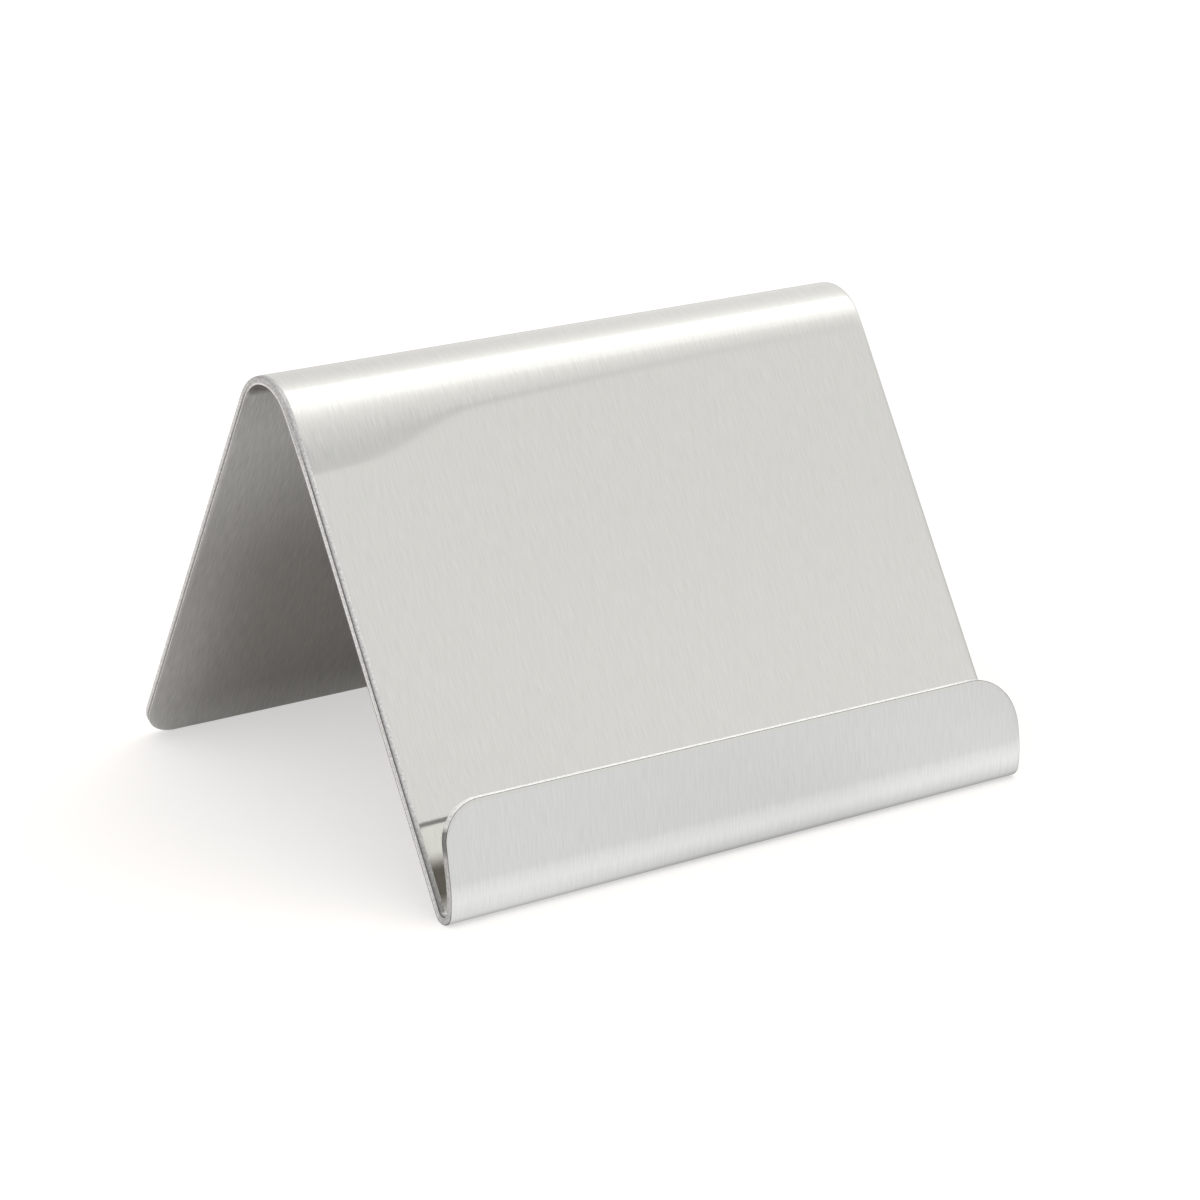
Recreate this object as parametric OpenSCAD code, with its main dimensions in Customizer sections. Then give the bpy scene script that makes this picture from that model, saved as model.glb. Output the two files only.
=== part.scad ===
// A place card holder bent from one strip of brushed steel sheet.
// The strip makes a tent: a front panel that the card leans on and a rear panel that props it up.
// At the front foot it folds back up into a low lip, and the card's lower edge stands in the trough.
// X runs along the ridge, the front is -Y, +Z is up.
// The origin is on the table, in the middle of the holder's footprint.

/* [Sheet] */
// Width of the strip, along the ridge
strip_width = 60; // [40:1:100]
// Thickness of the sheet
sheet_thickness = 0.75; // [0.5:0.05:1.2]

/* [Tent] */
// Height of the ridge above the table
tent_height = 40; // [30:1:60]
// Outer radius of the bend at the ridge
ridge_radius = 4.8; // [3:0.1:8]
// Slope of the front panel, in degrees above the table
front_slope = 58.5; // [50:0.5:70]
// Slope of the rear panel, in degrees above the table
rear_slope = 59.5; // [50:0.5:70]
// Radius of the rear panel's two lower corners
rear_corner_radius = 3.5; // [1:0.5:8]

/* [Lip] */
// Inner radius of the tight fold at the front foot
fold_radius = 0.55; // [0.4:0.05:1.5]
// How far the lip leans forward where the fold ends, in degrees
lip_lean_out = 7; // [0:1:12]
// Inner radius of the gentle curve in the lip's lower half
lip_curve_radius = 10; // [6:0.5:20]
// How far the lip's upper half leans back over the trough, in degrees
lip_lean_back = 10; // [0:1:14]
// Length of the lip's straight upper half, up to its edge
lip_straight = 6; // [4:0.5:12]
// Radius of the lip's two upper corners
lip_corner_radius = 4; // [1:0.5:6]

/* [Hidden] */
$fn = 96;
// A bend is drawn with one short face for about this many degrees
bend_step = 2.5;
// How far a cut runs past the sheet that it trims
cut_overrun = 1;

// The tight fold turns the strip from the front panel's downward run to the lip's upward run,
// so it and the curve above it are given by the directions in which their faces look
ridge_from = 90 - rear_slope;
ridge_to = 90 + front_slope;
fold_from = front_slope - 90;
fold_to = lip_lean_out - 180;
lip_curve_to = -lip_lean_back - 180;

// Both panels reach the table: the front one by the fold's lowest line, the rear one by its inner edge
ridge_axis_height = tent_height - ridge_radius;
front_length = (ridge_axis_height + (ridge_radius + fold_radius) * cos(front_slope)
                - fold_radius - sheet_thickness) / sin(front_slope);
rear_length = (ridge_axis_height + (ridge_radius - sheet_thickness) * cos(rear_slope)) / sin(rear_slope);

// How far the holder reaches in front of the ridge's axis and behind it
fold_reach = (ridge_radius + fold_radius) * sin(front_slope) + front_length * cos(front_slope);
lip_curve_reach = fold_reach - (lip_curve_radius - fold_radius) * cos(lip_lean_out);
front_reach = lip_curve_reach + lip_curve_radius + sheet_thickness;
rear_reach = ridge_radius * sin(rear_slope) + rear_length * cos(rear_slope);

// Axes of the three bends, seen along X. The footprint's middle lies at the origin.
ridge_axis = [(front_reach - rear_reach) / 2, ridge_axis_height];
fold_axis = [ridge_axis.x - fold_reach, fold_radius + sheet_thickness];
lip_curve_axis = [ridge_axis.x - lip_curve_reach,
                  fold_axis.y + (lip_curve_radius - fold_radius) * sin(lip_lean_out)];

// A corner is never rounder than the flat stretch that it is cut in
lip_corner = min(lip_corner_radius, lip_straight);
rear_corner = min(rear_corner_radius, rear_length);

function direction(angle) = [cos(angle), sin(angle)];

function arc(axis, radius, from, to) =
    let (steps = ceil(abs(to - from) / bend_step))
    [for (i = [0:steps]) axis + radius * direction(from + (to - from) * i / steps)];

// The ends of the strip, on a face that lies the given depth below its upper face
function rear_edge(depth) =
    ridge_axis + (ridge_radius - depth) * direction(ridge_from) + rear_length * direction(-rear_slope);
function lip_edge(depth) =
    lip_curve_axis + (lip_curve_radius + depth) * direction(lip_curve_to)
    + lip_straight * direction(90 - lip_lean_back);

// One face of the strip from the rear edge over the ridge, down the front and up the lip.
// The upper face is outside the ridge bend and inside the fold and the lip's curve.
function face(depth) = concat(
    [rear_edge(depth)],
    arc(ridge_axis, ridge_radius - depth, ridge_from, ridge_to),
    arc(fold_axis, fold_radius + depth, fold_from, fold_to),
    arc(lip_curve_axis, lip_curve_radius + depth, fold_to, lip_curve_to),
    [lip_edge(depth)]
);

function reversed(points) = [for (i = [len(points) - 1:-1:0]) points[i]];

// The strip bent to shape, with its corners still square
module bent_strip() {
    rotate([90, 0, 90])
        linear_extrude(strip_width, center = true)
            polygon(concat(face(0), reversed(face(sheet_thickness))));
}

// What is sheared off a corner at [0, 0] of a sheet that lies towards -X and -Y
module corner_waste(corner) {
    difference() {
        translate([-corner, -corner])
            square(corner + cut_overrun);
        translate([-corner, -corner])
            circle(corner);
    }
}

// Rounds both corners of an edge of the strip. The edge is a point seen along X,
// and the strip runs up to it in the direction of the given angle.
module round_corners(edge, angle, corner) {
    translate([0, edge.x, edge.y])
        rotate([angle, 0, 0])
            for (side = [0, 1])
                mirror([side, 0, 0])
                    translate([strip_width / 2, 0, -cut_overrun])
                        linear_extrude(sheet_thickness + 2 * cut_overrun)
                            corner_waste(corner);
}

module folded_sheet() {
    color("gainsboro")
        difference() {
            bent_strip();
            round_corners(rear_edge(sheet_thickness), -rear_slope, rear_corner);
            round_corners(lip_edge(sheet_thickness), 90 - lip_lean_back, lip_corner);
        }
}

folded_sheet();
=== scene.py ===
import math

import bmesh
import bpy
from mathutils import Matrix, Vector


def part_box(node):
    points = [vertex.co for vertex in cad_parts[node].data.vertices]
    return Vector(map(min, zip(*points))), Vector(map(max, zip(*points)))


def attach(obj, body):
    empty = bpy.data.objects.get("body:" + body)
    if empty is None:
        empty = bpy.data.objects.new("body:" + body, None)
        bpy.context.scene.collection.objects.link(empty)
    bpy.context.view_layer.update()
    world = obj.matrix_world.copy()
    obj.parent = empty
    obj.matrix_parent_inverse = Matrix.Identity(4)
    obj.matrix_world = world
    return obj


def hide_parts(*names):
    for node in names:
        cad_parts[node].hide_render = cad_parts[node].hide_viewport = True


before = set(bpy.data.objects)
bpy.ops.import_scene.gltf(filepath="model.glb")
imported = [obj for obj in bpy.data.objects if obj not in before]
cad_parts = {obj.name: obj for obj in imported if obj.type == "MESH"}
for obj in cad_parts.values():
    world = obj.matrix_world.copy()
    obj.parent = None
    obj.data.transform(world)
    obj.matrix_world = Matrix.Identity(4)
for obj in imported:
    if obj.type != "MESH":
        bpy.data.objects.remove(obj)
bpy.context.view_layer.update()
print("frame loaded")

# metres and degrees, as the solids are sized
holder = {
    "width": 0.060,
    "thickness": 0.00075,
    "height": 0.03995,
    "ridgeRadius": 0.0048,
    "ridgeAhead": 0.0005,
    "ridgeDrift": 0.00005,
    "runOutAngle": 3.7,
    "runOutRight": 0.0012,
    "runOutLeft": 0.0033,
    "easeAngle": 0.8,
    "easeRight": 0.0001,
    "easeLeft": 0.0026,
    "easeFrom": -0.0125,
    "easeFull": -0.0245,
    "kinkAngle": 1.2,
    "kinkRight": 0.0013,
    "kinkLeft": 0.0004,
    "frontSlope": 58.5,
    "rearSlope": 59.7,
    "rearCut": 0.00003,
    "rearCorners": (0.0034, 0.0035),
    "foldRadius": 0.00055,
    "lipLeanOut": 7,
    "lipCurveRadius": 0.010,
    "lipLeanBack": 10,
    "lipStraight": 0.00592,
    "lipEdgeTilt": 0.0005,
    "lipCorners": (0.0034, 0.0050),
}

# the shears draw the upper face down along the cut, in steps of (width, drop) from the cut inwards;
# zones are the cut's bands of tone from the upper face at 0 to the under face at 1, with painted shade in
# their dark lines and a painted highlight in their bright line, and a ramp gives the share of painted shade
# along the lip's end; lipEnd, onRidge and pastRidge are lengths along the strip
shearedEdge = {
    "rollOver": [(0.00006, 0.00004), (0.00014, 0.00003), (0.00028, 0.00002)],
    "burrFlat": (0.00005, 0.00002),
    "supportRing": 0.0004,
    "cornerSegments": 18,
    "sharpRight": 0.0006,
    "dullBelow": 0.000001,
    "zones": [(0.0, 0.82), (0.027, 0.60), (0.067, 0.26), (0.10, 0.12), (0.125, 0.12), (0.15, 0.84),
              (0.60, 0.88), (0.66, 0.97), (0.86, 0.97), (0.90, 0.22), (1.0, 0.22)],
    "lipZones": [(0.0, 0.40), (0.10, 0.30), (0.14, 0.92), (0.60, 0.94), (0.66, 0.97), (0.93, 0.97),
                 (0.97, 0.36), (1.0, 0.32)],
    "ridgeZones": [(0.0, 0.60), (0.08, 0.42), (0.16, 0.66), (0.72, 0.66), (0.82, 0.96), (1.0, 0.96)],
    "rearZones": [(0.0, 0.82), (0.03, 0.84), (0.56, 0.84), (0.68, 0.34), (0.80, 0.22), (0.90, 0.50),
                  (0.95, 0.90), (1.0, 0.90)],
    "lipEndShade": [(0.0, 1.0), (0.14, 1.0), (0.175, 0.3), (0.29, 0.3), (0.36, 0.7), (0.80, 0.85), (1.0, 1.0)],
    "lipEndShadeReach": 0.012,
    "lipEnd": 0.009,
    "lipBlend": 0.001,
    "onRidge": (0.0485, 0.0520),
    "pastRidge": (0.0605, 0.0635),
    "grainCell": 0.00018,
    "speckle": (0.72, 1.2),
    "wiped": (0.62, 0.7),
    "roughness": (0.55, 0.35),
    "reliefStrength": 0.5,
    "reliefHeight": 0.00003,
}

# painted shade deep inside the fold, a darker tone on the upper face at the trough's bottom, in lengths
# along the strip
foldShade = {
    "centre": 0.0136,
    "reach": 0.0027,
    "full": 0.0009,
    "tone": "#605D58",
}

# how finely the blank is divided: rows in each bend, the longest row of a straight stretch, and columns;
# edges sharper than the crease angle are shaded as creases
bending = {
    "ridgeRows": 40,
    "runOutRow": 0.0002,
    "runOutSteps": 4,
    "foldRows": 28,
    "lipRows": 10,
    "panelRow": 0.0036,
    "columns": 40,
    "creaseAngle": 32,
}

# the camera in degrees, metres and millimetres of lens; the floor's lift for the camera, and its painted
# light and shade for the metal inside the tent, each ((weight of X, weight of Y), start, end, strength)
studio = {
    "azimuth": 34.31,
    "elevation": 18.46,
    "target": (-0.006286, -0.013796, 0.020),
    "distance": 0.31006,
    "lens": 108.73,
    "sensor": 36.0,
    "floorSize": 6.0,
    "floorColour": "#CECBC9",
    "floorLift": 0.46,
    "insideLifts": [
        ((1, 0), -0.017, -0.027, 0.05),
        ((1, 0.75), -0.0045, -0.0095, 0.065),
        ((0, 1), 0.012, -0.006, 0.24),
        ((0, 1), -0.0016, -0.0036, -0.16),
        ((0, 1), 0.0240, 0.0262, 0.055),
    ],
    "paperAhead": (-0.0255, -0.0235),
}


def linear(hexColour):
    parts = [int(hexColour[i:i + 2], 16) / 255 for i in (1, 3, 5)]
    return (*[c / 12.92 if c <= 0.04045 else ((c + 0.055) / 1.055) ** 2.4 for c in parts], 1.0)


def addNode(tree, kind, settings=None, links=None):
    # settings are properties of the node or values of its inputs, links are sockets that feed its inputs
    node = tree.nodes.new(kind)
    for name, value in (settings or {}).items():
        if isinstance(name, str) and hasattr(node, name):
            setattr(node, name, value)
        else:
            node.inputs[name].default_value = value
    for name, socket in (links or {}).items():
        tree.links.new(socket, node.inputs[name])
    return node


def newMaterial(name):
    material = bpy.data.materials.new(name)
    material.use_nodes = True
    material.node_tree.nodes.clear()
    return material, material.node_tree


def setStops(ramp, stops):
    elements = ramp.color_ramp.elements
    while len(elements) < len(stops):
        elements.new(0.5)
    for element, (place, level) in zip(elements, stops):
        element.position = place
        element.color = (level, level, level, 1)


# The brush lines as (across, along) the strip, where one cell of noise holds a light and a dark line:
# fine lines of 0.07 mm, 1 mm long, because real grit lines are finer and wouldn't show at this size, and
# longer streaks of 0.5 mm, where the belt pressed harder.
brushing = {
    "fineLines": (0.00015, 0.0019),
    "broadStreaks": (0.0010, 0.014),
    "broadShare": 0.15,
    "noiseEnds": (0.3, 0.7),
    "tones": ("#D9D9D7", "#DFDFDD"),
    "unwipedTones": ("#D3D3D1", "#E5E5E3"),
    "unwipedFrom": (0.0125, 0.0145),
    "roughness": (0.135, 0.145),
    "tipping": (0.4974, 0.5026),
    "lineStrength": 0.04,
    "lineHeight": 0.00002,
}


# Stainless steel sheet with a brushed finish. The eye sees a pale, faintly warm grey metal with fine
# straight lines along the strip. They smear reflections sideways and leave them crisp along the strip.
def brushedStainlessSheet():
    material, tree = newMaterial("brushed_stainless_sheet")
    blank = addNode(tree, "ShaderNodeUVMap", {"uv_map": "blank"})
    patterns = []
    for (width, length), detail in ((brushing["fineLines"], 2.0), (brushing["broadStreaks"], 3.0)):
        stretched = addNode(tree, "ShaderNodeMapping", {"Scale": (1 / width, 1 / length, 1)},
                            {"Vector": blank.outputs["UV"]})
        patterns.append(addNode(tree, "ShaderNodeTexNoise",
                                {"noise_dimensions": "2D", "Scale": 1.0, "Detail": detail},
                                {"Vector": stretched.outputs["Vector"]}))
    fine, broad = patterns
    streaks = addNode(tree, "ShaderNodeMix", {"data_type": "FLOAT", "Factor": brushing["broadShare"]},
                      {2: fine.outputs["Fac"], 3: broad.outputs["Fac"]})
    contrast = addNode(tree, "ShaderNodeMapRange", {
        "From Min": brushing["noiseEnds"][0], "From Max": brushing["noiseEnds"][1],
    }, {"Value": streaks.outputs[0]})
    # inside the tent, the under face past the fold was never wiped, and its lines differ more in tone
    tones = []
    for dark, light in (brushing["tones"], brushing["unwipedTones"]):
        tones.append(addNode(tree, "ShaderNodeMix", {
            "data_type": "RGBA", 6: linear(dark), 7: linear(light),
        }, {"Factor": contrast.outputs["Result"]}))
    wiped, unwiped = tones
    along = addNode(tree, "ShaderNodeAttribute", {"attribute_name": "alongStrip"})
    depth = addNode(tree, "ShaderNodeAttribute", {"attribute_name": "cutDepth"})
    pastFold = addNode(tree, "ShaderNodeMapRange", {
        "From Min": brushing["unwipedFrom"][0], "From Max": brushing["unwipedFrom"][1],
    }, {"Value": along.outputs["Fac"]})
    under = addNode(tree, "ShaderNodeMath", {"operation": "GREATER_THAN", 1: 0.5}, {0: depth.outputs["Fac"]})
    inTent = addNode(tree, "ShaderNodeMath", {"operation": "MULTIPLY"},
                     {0: pastFold.outputs["Result"], 1: under.outputs[0]})
    lined = addNode(tree, "ShaderNodeMix", {"data_type": "RGBA"},
                    {"Factor": inTent.outputs[0], 6: wiped.outputs[2], 7: unwiped.outputs[2]})
    # deep in the trough a darker tone is painted on the upper face alone, as painted shade
    aside = addNode(tree, "ShaderNodeMath", {"operation": "SUBTRACT", 1: foldShade["centre"]},
                    {0: along.outputs["Fac"]})
    distance = addNode(tree, "ShaderNodeMath", {"operation": "ABSOLUTE"}, {0: aside.outputs[0]})
    near = addNode(tree, "ShaderNodeMapRange", {
        "From Min": foldShade["reach"], "From Max": foldShade["full"], "interpolation_type": "SMOOTHSTEP",
    }, {"Value": distance.outputs[0]})
    upper = addNode(tree, "ShaderNodeMath", {"operation": "LESS_THAN", 1: 0.5}, {0: depth.outputs["Fac"]})
    foldShaded = addNode(tree, "ShaderNodeMath", {"operation": "MULTIPLY"},
                      {0: near.outputs["Result"], 1: upper.outputs[0]})
    colour = addNode(tree, "ShaderNodeMix", {"data_type": "RGBA", 7: linear(foldShade["tone"])},
                     {"Factor": foldShaded.outputs[0], 6: lined.outputs[2]})
    polish = addNode(tree, "ShaderNodeMapRange", {
        "From Min": brushing["noiseEnds"][0], "From Max": brushing["noiseEnds"][1],
        "To Min": brushing["roughness"][0], "To Max": brushing["roughness"][1],
    }, {"Value": streaks.outputs[0]})
    # each line tips the reflections a little to and fro along the strip
    tip = addNode(tree, "ShaderNodeMapRange", {
        "To Min": brushing["tipping"][0], "To Max": brushing["tipping"][1],
    }, {"Value": fine.outputs["Fac"]})
    tipped = addNode(tree, "ShaderNodeCombineXYZ", {"X": 0.5, "Z": 1.0}, {"Y": tip.outputs["Result"]})
    grain = addNode(tree, "ShaderNodeNormalMap", {"uv_map": "blank"}, {"Color": tipped.outputs[0]})
    lines = addNode(tree, "ShaderNodeBump", {
        "Strength": brushing["lineStrength"], "Distance": brushing["lineHeight"],
    }, {"Height": fine.outputs["Fac"], "Normal": grain.outputs["Normal"]})
    grainSide = addNode(tree, "ShaderNodeTangent", {"direction_type": "UV_MAP", "uv_map": "blank"})
    steel = addNode(tree, "ShaderNodeBsdfPrincipled", {"Metallic": 1.0, "Anisotropic": 1.0}, {
        "Base Color": colour.outputs[2],
        "Roughness": polish.outputs["Result"],
        "Normal": lines.outputs["Normal"],
        "Tangent": grainSide.outputs["Tangent"],
    })
    addNode(tree, "ShaderNodeOutputMaterial", {}, {"Surface": steel.outputs["BSDF"]})
    return material


# The same steel where the shears cut it. The eye sees a dark line of painted shade under the drawn-down
# corner, a grey, torn and speckled band, and a bright line of painted highlight along the far side, where
# the blade's burr was wiped flat.
def shearedSteel():
    material, tree = newMaterial("sheared_steel_edge")
    depth = addNode(tree, "ShaderNodeAttribute", {"attribute_name": "cutDepth"})
    place = addNode(tree, "ShaderNodeTexCoord")
    # torn grains of 0.09 mm
    grains = addNode(tree, "ShaderNodeTexNoise", {
        "Scale": 1 / shearedEdge["grainCell"], "Detail": 3.0, "Roughness": 0.6,
    }, {"Vector": place.outputs["Object"]})
    # on the lip's own edge the bright part is wider, with painted highlight, and past the corners the
    # speckled cut is darker with painted shade
    along = addNode(tree, "ShaderNodeAttribute", {"attribute_name": "alongStrip"})
    zones = addNode(tree, "ShaderNodeValToRGB", {}, {"Fac": depth.outputs["Fac"]})
    lipZones = addNode(tree, "ShaderNodeValToRGB", {}, {"Fac": depth.outputs["Fac"]})
    setStops(zones, shearedEdge["zones"])
    setStops(lipZones, shearedEdge["lipZones"])
    elsewhere = addNode(tree, "ShaderNodeMapRange", {
        "From Min": shearedEdge["lipEnd"] - shearedEdge["lipBlend"],
        "From Max": shearedEdge["lipEnd"] + shearedEdge["lipBlend"],
    }, {"Value": along.outputs["Fac"]})
    banded = addNode(tree, "ShaderNodeMix", {"data_type": "RGBA"}, {
        "Factor": elsewhere.outputs["Result"], 6: lipZones.outputs["Color"], 7: zones.outputs["Color"],
    })
    # stretched over the ridge the cut is greyer, and down the rear panel a thin dark line of painted shade
    # crosses it, both with a bright line of painted highlight along the under face
    bands = banded.outputs[2]
    for stops, reach in (("ridgeZones", "onRidge"), ("rearZones", "pastRidge")):
        nextZones = addNode(tree, "ShaderNodeValToRGB", {}, {"Fac": depth.outputs["Fac"]})
        setStops(nextZones, shearedEdge[stops])
        past = addNode(tree, "ShaderNodeMapRange", {
            "From Min": shearedEdge[reach][0], "From Max": shearedEdge[reach][1],
        }, {"Value": along.outputs["Fac"]})
        bands = addNode(tree, "ShaderNodeMix", {"data_type": "RGBA"}, {
            "Factor": past.outputs["Result"], 6: bands, 7: nextZones.outputs["Color"],
        }).outputs[2]
    # painted shade darkens the speckled cut along the lip's end, as a share of its tone
    share = addNode(tree, "ShaderNodeMapRange", {"From Min": 0.0, "From Max": shearedEdge["lipEndShadeReach"]},
                    {"Value": along.outputs["Fac"]})
    lipEndShade = addNode(tree, "ShaderNodeValToRGB", {}, {"Fac": share.outputs["Result"]})
    setStops(lipEndShade, shearedEdge["lipEndShade"])
    speckle = addNode(tree, "ShaderNodeMapRange", {
        "From Min": brushing["noiseEnds"][0], "From Max": brushing["noiseEnds"][1],
        "To Min": shearedEdge["speckle"][0], "To Max": shearedEdge["speckle"][1],
    }, {"Value": grains.outputs["Fac"]})
    shadedSpeckle = addNode(tree, "ShaderNodeMath", {"operation": "MULTIPLY"},
                   {0: lipEndShade.outputs["Color"], 1: speckle.outputs["Result"]})
    tone = addNode(tree, "ShaderNodeMix", {"data_type": "RGBA", "blend_type": "MULTIPLY", "Factor": 1.0},
                   {6: bands, 7: shadedSpeckle.outputs[0]})
    finish = addNode(tree, "ShaderNodeMapRange", {
        "From Min": shearedEdge["wiped"][0], "From Max": shearedEdge["wiped"][1],
        "To Min": shearedEdge["roughness"][0], "To Max": shearedEdge["roughness"][1],
    }, {"Value": depth.outputs["Fac"]})
    relief = addNode(tree, "ShaderNodeBump", {
        "Strength": shearedEdge["reliefStrength"], "Distance": shearedEdge["reliefHeight"],
    }, {"Height": grains.outputs["Fac"]})
    steel = addNode(tree, "ShaderNodeBsdfPrincipled", {"Metallic": 1.0}, {
        "Base Color": tone.outputs[2],
        "Roughness": finish.outputs["Result"],
        "Normal": relief.outputs["Normal"],
    })
    addNode(tree, "ShaderNodeOutputMaterial", {}, {"Surface": steel.outputs["BSDF"]})
    return material


def cutAcross(bm, place, direction):
    # a row of edges across the whole blank, square to the direction
    bmesh.ops.bisect_plane(bm, geom=bm.verts[:] + bm.edges[:] + bm.faces[:], dist=1e-8,
                           plane_co=place, plane_no=direction)


def cornerAt(bm, right, far):
    # the corner of the blank that lies furthest to the one side and the one end
    return max(bm.verts, key=lambda v: v.co.x * (1 if right else -1) + v.co.y * (1 if far else -1))


def cutBlank(bm, length):
    # the flat blank: X across, Y from the lip's edge to the rear edge, Z towards the upper face
    width, thickness = holder["width"], holder["thickness"]
    drop = sum(step[1] for step in shearedEdge["rollOver"]) + shearedEdge["burrFlat"][1]
    bmesh.ops.create_grid(bm, x_segments=1, y_segments=1, size=0.5)
    bmesh.ops.scale(bm, vec=(width, length, 1), verts=bm.verts)
    bmesh.ops.translate(bm, vec=(0, length / 2, 0), verts=bm.verts)
    # the lip's edge was cut slightly askew
    for vert in bm.verts:
        if vert.co.y < length / 2:
            vert.co.y += holder["lipEdgeTilt"] * vert.co.x / width
    for far, corners in ((False, holder["lipCorners"]), (True, holder["rearCorners"])):
        for right, corner in ((False, corners[0]), (True, corners[1])):
            bmesh.ops.bevel(bm, geom=[cornerAt(bm, right, far)], offset=corner, offset_type="OFFSET",
                            affect="VERTICES", segments=shearedEdge["cornerSegments"], profile=0.5,
                            material=-1)
    bmesh.ops.solidify(bm, geom=bm.faces[:], thickness=thickness - drop)
    bmesh.ops.recalc_face_normals(bm, faces=bm.faces)
    lowest = min(v.co.z for v in bm.verts)
    bmesh.ops.translate(bm, verts=bm.verts,
                        vec=(0, 0, shearedEdge["burrFlat"][1] - thickness / 2 - lowest))
    for face in bm.faces:
        face.material_index = 1 if abs(face.normal.z) < 0.5 else 0


def shearEdges(bm):
    # the upper face rolls over at the cut, and the lower one has its burr wiped flat
    upper = max(bm.faces, key=lambda face: face.calc_center_median().z)
    lower = min(bm.faces, key=lambda face: face.calc_center_median().z)
    for stepWidth, stepDrop in shearedEdge["rollOver"]:
        bmesh.ops.inset_region(bm, faces=[upper], thickness=stepWidth, depth=stepDrop, use_even_offset=True)
    bmesh.ops.inset_region(bm, faces=[upper], thickness=shearedEdge["supportRing"], use_even_offset=True)
    rim = set(bm.faces)
    bmesh.ops.inset_region(bm, faces=[lower], thickness=shearedEdge["burrFlat"][0],
                           depth=shearedEdge["burrFlat"][1], use_even_offset=True)
    for face in set(bm.faces) - rim:
        face.material_index = 1
    bmesh.ops.inset_region(bm, faces=[lower], thickness=shearedEdge["supportRing"], use_even_offset=True)


def pressBend(bm, angle, startAt, lengthAt):
    # bends what lies past the start on the flat blank, towards the upper face where the angle is positive;
    # the start, and the length halfway through the sheet that takes the bend, may change with x
    along = bm.verts.layers.float["alongStrip"]
    turn = math.radians(angle)
    for vert in bm.verts:
        start, length = startAt(vert.co.x), lengthAt(vert.co.x)
        past = vert[along] - start
        if past > 0:
            inBend = min(past, length)
            axis = Vector((vert.co.x, start, length / turn))
            vert.co.y -= inBend
            vert.co = Matrix.Rotation(turn * inBend / length, 3, "X") @ (vert.co - axis) + axis


def towardsLeft(x, fall):
    # from 0 at the right end to 1 at the left
    return max(0, 0.5 - x / holder["width"]) ** fall


def runOutLength(x):
    # the last of the ridge's bend, where it opens out towards the front panel
    return holder["runOutRight"] + (holder["runOutLeft"] - holder["runOutRight"]) * towardsLeft(x, 2)


def easeLength(x):
    # below it the panel's left end is still very slightly bowed
    share = min(1, max(0, (x - holder["easeFrom"]) / (holder["easeFull"] - holder["easeFrom"])))
    return holder["easeRight"] + (holder["easeLeft"] - holder["easeRight"]) * share ** 2 * (3 - 2 * share)


def kinkLength(x):
    # where the bow ends, a crease marks how far the press reached: sharp at the left end, soft at the right
    return holder["kinkRight"] + (holder["kinkLeft"] - holder["kinkRight"]) * towardsLeft(x, 0.5)


def bendRunOut(bm, ridgeAt):
    # the run-out tightens towards the ridge, in short bends of growing angle
    steps = bending["runOutSteps"]
    for i in reversed(range(steps)):
        angle = -holder["runOutAngle"] * ((i + 1) ** 2 - i ** 2) / steps ** 2
        pressBend(bm, angle, lambda x: ridgeAt(x) - runOutLength(x) * (steps - i) / steps,
                  lambda x: runOutLength(x) / steps)
    pressBend(bm, -holder["easeAngle"], lambda x: ridgeAt(x) - runOutLength(x) - easeLength(x), easeLength)
    pressBend(bm, -holder["kinkAngle"],
              lambda x: ridgeAt(x) - runOutLength(x) - easeLength(x) - kinkLength(x), kinkLength)


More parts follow.
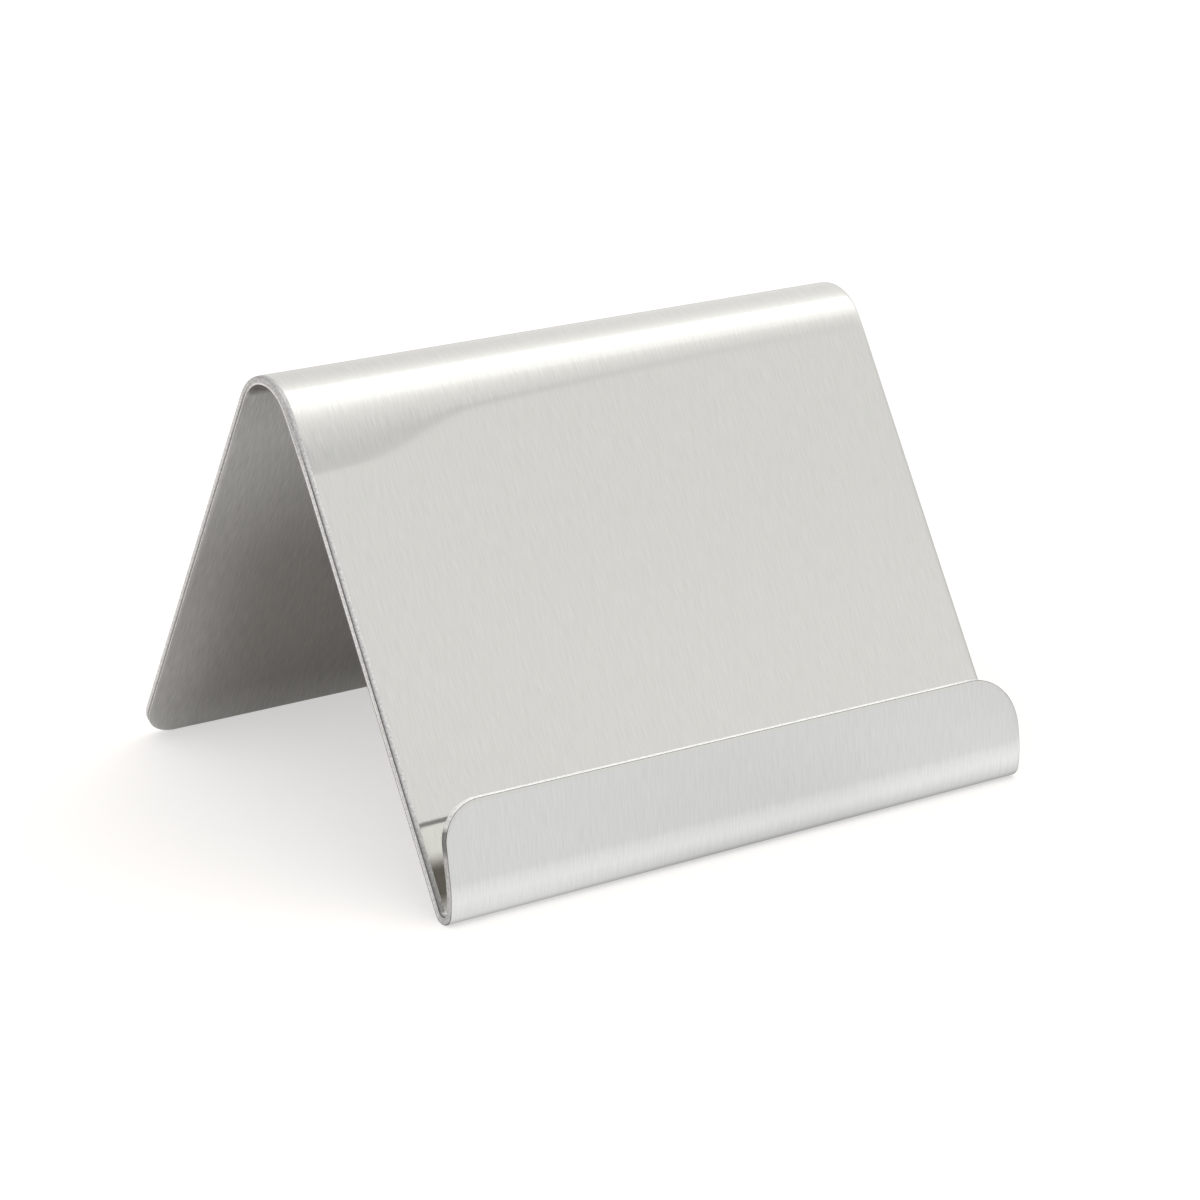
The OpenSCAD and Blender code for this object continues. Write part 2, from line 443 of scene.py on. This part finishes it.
def foldedSheet():
    front, rear = math.radians(holder["frontSlope"]), math.radians(holder["rearSlope"])
    half = holder["thickness"] / 2
    ridge, fold, curve = holder["ridgeRadius"], holder["foldRadius"], holder["lipCurveRadius"]
    axisHeight = holder["height"] - ridge
    frontLength = (axisHeight + (ridge + fold) * math.cos(front) - fold - 2 * half) / math.sin(front)
    frontLength += holder["ridgeAhead"]
    rearLength = (axisHeight + (ridge - 2 * half) * math.cos(rear)) / math.sin(rear) - holder["rearCut"]
    # (angle, radius halfway through the sheet, rows, the straight stretch that follows)
    stretches = [
        (0, 0, 0, holder["lipStraight"]),
        (holder["lipLeanOut"] + holder["lipLeanBack"], curve + half, bending["lipRows"], 0),
        (90 + holder["frontSlope"] - holder["lipLeanOut"], fold + half, bending["foldRows"], frontLength),
        (holder["runOutAngle"] + holder["easeAngle"] + holder["kinkAngle"] - holder["frontSlope"]
         - holder["rearSlope"], ridge - half, bending["ridgeRows"], rearLength),
    ]
    bends, rows, place = [], [], 0
    for angle, radius, bendRows, straight in stretches:
        bends.append((place, angle, radius))
        length = math.radians(abs(angle)) * radius
        rows += [place + length * i / bendRows for i in range(1, bendRows)]
        place += length
        straightRows = math.ceil(straight / bending["panelRow"])
        rows += [place + straight * i / straightRows for i in range(straightRows)]
        place += straight
    ridgeStart = bends[-1][0]
    bowed = holder["runOutLeft"] + holder["easeLeft"] + holder["kinkLeft"]
    rows += [ridgeStart - bending["runOutRow"] * (i + 0.5) for i in range(int(bowed / bending["runOutRow"]))]

    bm = bmesh.new()
    cutDepth = bm.verts.layers.float.new("cutDepth")
    along = bm.verts.layers.float.new("alongStrip")
    blank = bm.loops.layers.uv.new("blank")
    cutBlank(bm, place)
    shearEdges(bm)
    for i in range(1, bending["columns"]):
        cutAcross(bm, (holder["width"] * (i / bending["columns"] - 0.5), 0, 0), (1, 0, 0))
    for row in sorted(rows)[1:]:
        cutAcross(bm, (0, row, 0), (0, 1, 0))

    # the place on the flat blank is kept, for the bends, the grain and the cut's bands
    for vert in bm.verts:
        vert[along] = vert.co.y
        vert[cutDepth] = 0.5 - vert.co.z / holder["thickness"]
    for face in bm.faces:
        for loop in face.loops:
            loop[blank].uv = (loop.vert.co.x, loop.vert.co.y)
        # the rolled-over rim is as dull as the cut and carries its painted dark line, but for the right
        # side, where the blade was sharper
        below = holder["thickness"] / 2 - min(v.co.z for v in face.verts)
        middle = face.calc_center_median()
        rightRim = holder["width"] / 2 - shearedEdge["sharpRight"]
        onRight = middle.x > rightRim and middle.y > shearedEdge["lipEnd"]
        if face.normal.z > 0.5 and below > shearedEdge["dullBelow"] and not onRight:
            face.material_index = 1

    # the ridge's bend strays towards the rear at its left end
    def ridgeAt(x):
        return ridgeStart + holder["ridgeDrift"] * towardsLeft(x, 5)

    for start, angle, radius in reversed(bends[1:]):
        atRidge = start == ridgeStart
        pressBend(bm, angle, ridgeAt if atRidge else lambda x: start,
                  lambda x: math.radians(abs(angle)) * radius)
        if atRidge:
            bendRunOut(bm, ridgeAt)
    bmesh.ops.rotate(bm, cent=(0, 0, 0), verts=bm.verts,
                     matrix=Matrix.Rotation(math.radians(-90 - holder["lipLeanBack"]), 3, "X"))
    low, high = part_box("folded_sheet")
    bmesh.ops.translate(bm, verts=bm.verts, vec=(
        0,
        low.y - min(v.co.y for v in bm.verts),
        low.z - min(v.co.z for v in bm.verts),
    ))
    bmesh.ops.recalc_face_normals(bm, faces=bm.faces)
    for face in bm.faces:
        face.smooth = True
    for edge in bm.edges:
        if edge.calc_face_angle(0) > math.radians(bending["creaseAngle"]):
            edge.smooth = False

    mesh = bpy.data.meshes.new("folded_sheet_brushed")
    bm.to_mesh(mesh)
    bm.free()
    mesh.materials.append(brushedStainlessSheet())
    mesh.materials.append(shearedSteel())
    piece = bpy.data.objects.new("folded_sheet_brushed", mesh)
    bpy.context.scene.collection.objects.link(piece)
    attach(piece, "root")
    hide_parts("folded_sheet")
    print("sheet", len(mesh.vertices), "vertices")
    return piece


# The paper in front of the holder as the metal sees it, in (millimetres along Y, level): painted shade under
# the fold, painted light lightest about 4 mm in front of it and slowly darker further out.
paperStops = [(-24.5, 0.40), (-26.5, 0.45), (-27.3, 0.76), (-29.5, 0.98), (-31, 1.05), (-44.5, 0.88)]
# and its painted lighter and darker stripes, in (millimetres along X, aslant, share)
stripeStops = [(-30, 1.06), (-4, 1.0), (8, 0.99), (17, 1.06), (30, 1.09), (45, 1.0)]


# those painted stripes run aslant, as the metal's reflections do, and reach this far to either side; by the
# fold's left end the paper is painted brighter: (ends along Y, ends along X, extra share)
mirroredPaper = {
    "slant": 0.65,
    "slantFrom": 0.0253,
    "stripeReach": 45,
    "byFold": ((-0.0300, -0.0270), (-0.004, -0.020), 0.17),
}


def floor():
    bm = bmesh.new()
    bmesh.ops.create_grid(bm, x_segments=1, y_segments=1, size=studio["floorSize"] / 2)
    mesh = bpy.data.meshes.new("floor")
    bm.to_mesh(mesh)
    bm.free()
    material, tree = newMaterial("white_paper_floor")
    paper = addNode(tree, "ShaderNodeBsdfDiffuse", {"Color": linear(studio["floorColour"])})
    path = addNode(tree, "ShaderNodeLightPath")
    place = addNode(tree, "ShaderNodeTexCoord")
    axes = addNode(tree, "ShaderNodeSeparateXYZ", {}, {0: place.outputs["Object"]})

    # a lift in what the camera sees, so that the paper is plain white and keeps a pale shadow
    lift = addNode(tree, "ShaderNodeMath", {"operation": "MULTIPLY", 1: studio["floorLift"]},
                   {0: path.outputs["Is Camera Ray"]})
    # and painted light in what the metal sees, by the tent's open left end, under its ridge and by its rear
    # foot, with a strip of painted shade under the apex
    inside = None
    for (rightwards, rearwards), start, end, strength in studio["insideLifts"]:
        towards = addNode(tree, "ShaderNodeVectorMath", {
            "operation": "DOT_PRODUCT", 1: (rightwards, rearwards, 0),
        }, {0: place.outputs["Object"]})
        ramp = addNode(tree, "ShaderNodeMapRange", {"From Min": start, "From Max": end, "To Max": strength},
                       {"Value": towards.outputs["Value"]})
        inside = ramp.outputs["Result"] if inside is None else addNode(
            tree, "ShaderNodeMath", {"operation": "ADD"}, {0: inside, 1: ramp.outputs["Result"]}).outputs[0]
    mirroredLift = addNode(tree, "ShaderNodeMath", {"operation": "MULTIPLY"},
                           {0: inside, 1: path.outputs["Is Glossy Ray"]})
    lifts = addNode(tree, "ShaderNodeMath", {"operation": "ADD"},
                    {0: lift.outputs[0], 1: mirroredLift.outputs[0]})
    glow = addNode(tree, "ShaderNodeEmission", {}, {"Strength": lifts.outputs[0]})
    both = addNode(tree, "ShaderNodeAddShader", {}, {0: paper.outputs[0], 1: glow.outputs[0]})

    # in front of the holder the metal sees white paper glowing with painted light, darkened with painted
    # shade towards the fold
    ahead = addNode(tree, "ShaderNodeMapRange", {
        "From Min": studio["paperAhead"][1], "From Max": studio["paperAhead"][0],
    }, {"Value": axes.outputs["Y"]})
    nearest, furthest = paperStops[0][0] / 1000, paperStops[-1][0] / 1000
    forward = addNode(tree, "ShaderNodeMapRange", {"From Min": nearest, "From Max": furthest},
                      {"Value": axes.outputs["Y"]})
    near = addNode(tree, "ShaderNodeValToRGB", {}, {"Fac": forward.outputs["Result"]})
    setStops(near, [((place / 1000 - nearest) / (furthest - nearest), level / 2)
                    for place, level in paperStops])
    lean = mirroredPaper["slant"]
    slant = addNode(tree, "ShaderNodeMath", {
        "operation": "MULTIPLY_ADD", 1: lean, 2: lean * mirroredPaper["slantFrom"],
    }, {0: axes.outputs["Y"]})
    aslant = addNode(tree, "ShaderNodeMath", {"operation": "ADD"},
                     {0: axes.outputs["X"], 1: slant.outputs[0]})
    reach = mirroredPaper["stripeReach"]
    across = addNode(tree, "ShaderNodeMapRange", {"From Min": -reach / 1000, "From Max": reach / 1000},
                     {"Value": aslant.outputs[0]})
    stripes = addNode(tree, "ShaderNodeValToRGB", {}, {"Fac": across.outputs["Result"]})
    setStops(stripes, [((place + reach) / (2 * reach), level / 2) for place, level in stripeStops])
    # both ramps hold halves, which are made good here
    paired = addNode(tree, "ShaderNodeMath", {"operation": "MULTIPLY"},
                     {0: near.outputs["Color"], 1: stripes.outputs["Color"]})
    strength = addNode(tree, "ShaderNodeMath", {"operation": "MULTIPLY", 1: 4.0}, {0: paired.outputs[0]})
    foldEnds, leftEnds, extra = mirroredPaper["byFold"]
    byFold = addNode(tree, "ShaderNodeMapRange", {"From Min": foldEnds[0], "From Max": foldEnds[1]},
                     {"Value": axes.outputs["Y"]})
    byLeft = addNode(tree, "ShaderNodeMapRange", {
        "From Min": leftEnds[0], "From Max": leftEnds[1], "To Max": extra,
    }, {"Value": axes.outputs["X"]})
    corner = addNode(tree, "ShaderNodeMath", {"operation": "MULTIPLY_ADD", 2: 1.0},
                     {0: byFold.outputs["Result"], 1: byLeft.outputs["Result"]})
    brighter = addNode(tree, "ShaderNodeMath", {"operation": "MULTIPLY"},
                       {0: strength.outputs[0], 1: corner.outputs[0]})
    white = addNode(tree, "ShaderNodeEmission", {}, {"Strength": brighter.outputs[0]})
    mirrored = addNode(tree, "ShaderNodeMath", {"operation": "MULTIPLY"},
                       {0: ahead.outputs["Result"], 1: path.outputs["Is Glossy Ray"]})
    seen = addNode(tree, "ShaderNodeMixShader", {},
                   {0: mirrored.outputs[0], 1: both.outputs[0], 2: white.outputs[0]})
    addNode(tree, "ShaderNodeOutputMaterial", {}, {"Surface": seen.outputs[0]})
    mesh.materials.append(material)
    plane = bpy.data.objects.new("floor", mesh)
    bpy.context.scene.collection.objects.link(plane)


# What the studio looks like round the object, by the angle about the ridge's direction: 0 is level
# in front, 90 overhead and 180 level behind. In front is a pale wall, as (degrees, level). From its top
# the light rises to the level of a long soft box overhead, evenly where the bend is 1 and later where it
# is more, so the box's rim is sharp towards the left and blurred towards the right. From where the box
# ends, what it adds to the level far behind fades with the angle, by about two thirds in each fade.
skyLeft = {
    "wall": [(0, 0.88), (49, 0.94)],
    "rimBend": 1.75, "box": 1.6, "boxFrom": 55.5, "boxTo": 90,
    "behind": 0.87, "fade": 17,
}
skyRight = {
    "wall": [(0, 0.92), (40, 0.96), (43, 0.92), (48, 0.92)],
    "rimBend": 1, "box": 1.6, "boxFrom": 75, "boxTo": 94,
    "behind": 0.94, "fade": 16,
}
# how finely the rim and the fade are followed
skySteps = {"rim": 8, "fade": 13, "fadeStep": 5}
# the soft box's tube is brightest overhead: its two rims in degrees, its ends along X, and the light it adds
tube = {"angles": (72, 78, 92, 98), "ends": (0.40, 0.46, 0.62, 0.68), "extra": 0.8}
# a darker gap between the pale wall and the soft box, which closes towards the right
gap = {"lower": (45.5, 45.9), "upper": (48.0, 49.0), "ends": (0.545, 0.495), "closed": 0.0, "open": 0.30}
# low down, the studio is darker to both sides: (place from left to right, share of the light)
sideStops = [(-1.0, 0.8), (-0.35, 0.88), (0.1, 1.0), (0.72, 1.0), (0.92, 0.7), (1.0, 0.65)]
# directions have a length of 1: where along X one side's levels turn into the other's, between which
# heights the dimming to the sides sets in, how the left half dims all the way up, and the light's colour
surroundings = {
    "blend": (0.46, 0.545),
    "lowDown": (0.8, 0.45),
    "leftEnds": (0.1, 0.42),
    "leftShares": (0.9, 1.0),
    "lightColour": (1, 0.992, 0.967, 1),
}


def degreesBetween(tree, value, start, end, top):
    # rises from 0 to the top between two angles
    return addNode(tree, "ShaderNodeMapRange", {
        "From Min": math.radians(start), "From Max": math.radians(end), "To Max": top,
    }, {"Value": value}).outputs["Result"]


def skyStops(sky):
    # the wall, the rim's rise and the fade behind the box, as (degrees, level)
    stops = list(sky["wall"])
    rimFrom, wallLevel = stops[-1]
    for i in range(1, skySteps["rim"] + 1):
        across = i / skySteps["rim"]
        stops.append((rimFrom + (sky["boxFrom"] - rimFrom) * across,
                      wallLevel + (sky["box"] - wallLevel) * across ** sky["rimBend"]))
    for i in range(skySteps["fade"]):
        past = i * skySteps["fadeStep"]
        stops.append((sky["boxTo"] + past,
                      sky["behind"] + (sky["box"] - sky["behind"]) * math.exp(-past / sky["fade"])))
    return stops + [(180, sky["behind"])]


def studioLight():
    world = bpy.data.worlds.new("studio")
    bpy.context.scene.world = world
    world.use_nodes = True
    tree = world.node_tree
    tree.nodes.clear()
    direction = addNode(tree, "ShaderNodeTexCoord")
    axes = addNode(tree, "ShaderNodeSeparateXYZ", {}, {0: direction.outputs["Generated"]})
    front = addNode(tree, "ShaderNodeMath", {"operation": "MULTIPLY", 1: -1.0}, {0: axes.outputs["Y"]})
    angle = addNode(tree, "ShaderNodeMath", {"operation": "ARCTAN2"},
                    {0: axes.outputs["Z"], 1: front.outputs[0]}).outputs[0]
    share = addNode(tree, "ShaderNodeMapRange", {"From Min": 0.0, "From Max": math.pi}, {"Value": angle})
    # levels are halved in the ramps, which hold no colour above 1, and doubled again behind them
    ramps = []
    for side in (skyLeft, skyRight):
        ramp = addNode(tree, "ShaderNodeValToRGB", {}, {"Fac": share.outputs["Result"]})
        setStops(ramp, [(place / 180, level / 2) for place, level in skyStops(side)])
        ramps.append(ramp.outputs["Color"])
    rightwards = addNode(tree, "ShaderNodeMapRange", {
        "From Min": surroundings["blend"][0], "From Max": surroundings["blend"][1],
        "interpolation_type": "SMOOTHSTEP",
    }, {"Value": axes.outputs["X"]})
    sky = addNode(tree, "ShaderNodeMix", {"data_type": "RGBA"},
                  {"Factor": rightwards.outputs["Result"], 6: ramps[0], 7: ramps[1]})
    level = addNode(tree, "ShaderNodeMath", {"operation": "MULTIPLY", 1: 2.0}, {0: sky.outputs[2]})

    across = addNode(tree, "ShaderNodeMapRange", {"From Min": -1.0, "From Max": 1.0},
                     {"Value": axes.outputs["X"]})
    sides = addNode(tree, "ShaderNodeValToRGB", {}, {"Fac": across.outputs["Result"]})
    setStops(sides, [((place + 1) / 2, share) for place, share in sideStops])
    low = addNode(tree, "ShaderNodeMapRange", {
        "From Min": surroundings["lowDown"][0], "From Max": surroundings["lowDown"][1],
    }, {"Value": axes.outputs["Z"]})
    dimming = addNode(tree, "ShaderNodeMix", {"data_type": "FLOAT", 2: 1.0},
                      {"Factor": low.outputs["Result"], 3: sides.outputs["Color"]})
    leftDimming = addNode(tree, "ShaderNodeMapRange", {
        "From Min": surroundings["leftEnds"][0], "From Max": surroundings["leftEnds"][1],
        "To Min": surroundings["leftShares"][0], "To Max": surroundings["leftShares"][1],
    }, {"Value": axes.outputs["X"]})

    enter = degreesBetween(tree, angle, *gap["lower"], 1.0)
    leave = degreesBetween(tree, angle, *gap["upper"], 1.0)
    between = addNode(tree, "ShaderNodeMath", {"operation": "SUBTRACT"}, {0: enter, 1: leave})
    depth = addNode(tree, "ShaderNodeMapRange", {
        "From Min": gap["ends"][0], "From Max": gap["ends"][1],
        "To Min": gap["closed"], "To Max": gap["open"],
    }, {"Value": axes.outputs["X"]})
    dark = addNode(tree, "ShaderNodeMath", {"operation": "MULTIPLY"},
                   {0: between.outputs[0], 1: depth.outputs["Result"]})
    clear = addNode(tree, "ShaderNodeMath", {"operation": "SUBTRACT", 0: 1.0}, {1: dark.outputs[0]})

    rise = degreesBetween(tree, angle, *tube["angles"][:2], 1.0)
    fall = degreesBetween(tree, angle, *tube["angles"][2:], 1.0)
    strip = addNode(tree, "ShaderNodeMath", {"operation": "SUBTRACT"}, {0: rise, 1: fall})
    start, end = (addNode(tree, "ShaderNodeMapRange", {"From Min": ends[0], "From Max": ends[1]},
                          {"Value": axes.outputs["X"]}) for ends in (tube["ends"][:2], tube["ends"][2:]))
    length = addNode(tree, "ShaderNodeMath", {"operation": "SUBTRACT"},
                     {0: start.outputs["Result"], 1: end.outputs["Result"]})
    patch = addNode(tree, "ShaderNodeMath", {"operation": "MULTIPLY"},
                    {0: strip.outputs[0], 1: length.outputs[0]})
    withTube = addNode(tree, "ShaderNodeMath", {"operation": "MULTIPLY_ADD", 1: tube["extra"]},
                       {0: patch.outputs[0], 2: level.outputs[0]})

    strength = withTube.outputs[0]
    for factor in (clear.outputs[0], dimming.outputs[0], leftDimming.outputs["Result"]):
        scaled = addNode(tree, "ShaderNodeMath", {"operation": "MULTIPLY"}, {0: strength, 1: factor})
        strength = scaled.outputs[0]
    lit = addNode(tree, "ShaderNodeBackground", {"Color": surroundings["lightColour"]},
                  {"Strength": strength})
    # the camera sees plain white, and the metal the studio
    plain = addNode(tree, "ShaderNodeBackground", {"Color": (1, 1, 1, 1), "Strength": 1.0})
    path = addNode(tree, "ShaderNodeLightPath")
    shown = addNode(tree, "ShaderNodeMixShader", {}, {
        0: path.outputs["Is Camera Ray"], 1: lit.outputs[0], 2: plain.outputs[0],
    })
    addNode(tree, "ShaderNodeOutputWorld", {}, {"Surface": shown.outputs[0]})


def camera():
    azimuth, elevation = math.radians(studio["azimuth"]), math.radians(studio["elevation"])
    ahead = Vector((
        math.sin(azimuth) * math.cos(elevation),
        math.cos(azimuth) * math.cos(elevation),
        -math.sin(elevation),
    ))
    lens = bpy.data.cameras.new("camera")
    lens.sensor_width = studio["sensor"]
    lens.lens = studio["lens"]
    lens.clip_start = 0.01
    holderCamera = bpy.data.objects.new("camera", lens)
    holderCamera.location = Vector(studio["target"]) - ahead * studio["distance"]
    holderCamera.rotation_euler = ahead.to_track_quat("-Z", "Y").to_euler()
    bpy.context.scene.collection.objects.link(holderCamera)
    bpy.context.scene.camera = holderCamera


camera()
print("camera placed")
foldedSheet()
floor()
studioLight()
bpy.context.scene.view_settings.view_transform = "Standard"
print("studio lit")
